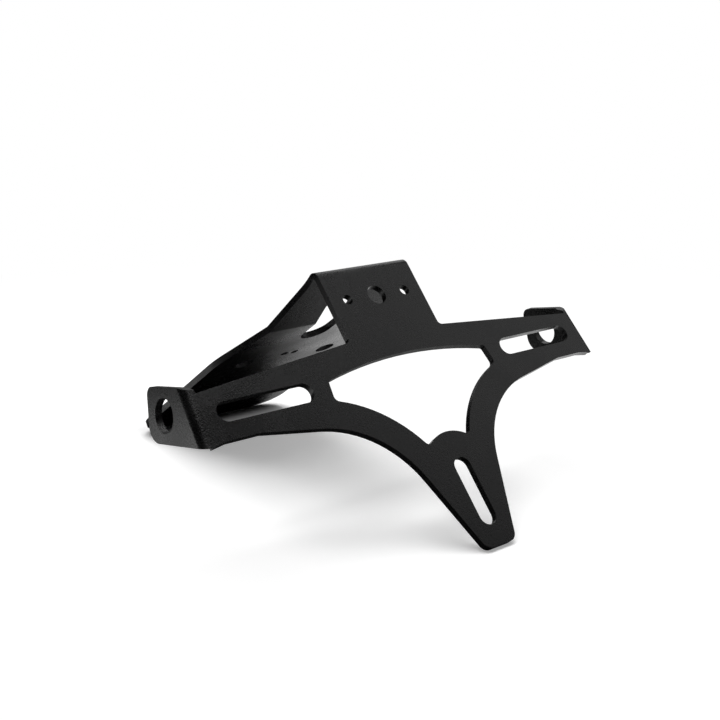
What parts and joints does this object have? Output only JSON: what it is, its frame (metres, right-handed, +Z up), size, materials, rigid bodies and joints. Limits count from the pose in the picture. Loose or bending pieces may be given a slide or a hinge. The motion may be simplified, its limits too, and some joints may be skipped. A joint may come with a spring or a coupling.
{
  "type": "motorbike tail tidy",
  "caption": "Folded sheet-metal bracket with a number-plate face, side tabs for indicators and a panel that bolts under a motorbike's tail.",
  "frame": {"origin": "middle of the part's box on the ground it stands on", "axes": "+Z up; -Y is the side that the number-plate face looks to; +X is to the right for someone who looks at that face"},
  "size_m": [0.1794, 0.1888, 0.0849],
  "materials": {
    "bracket": "satin black fine-texture powder coat"
  },
  "bodies": {
    "root": {"bracket": "bracket"}
  },
  "joints": []
}
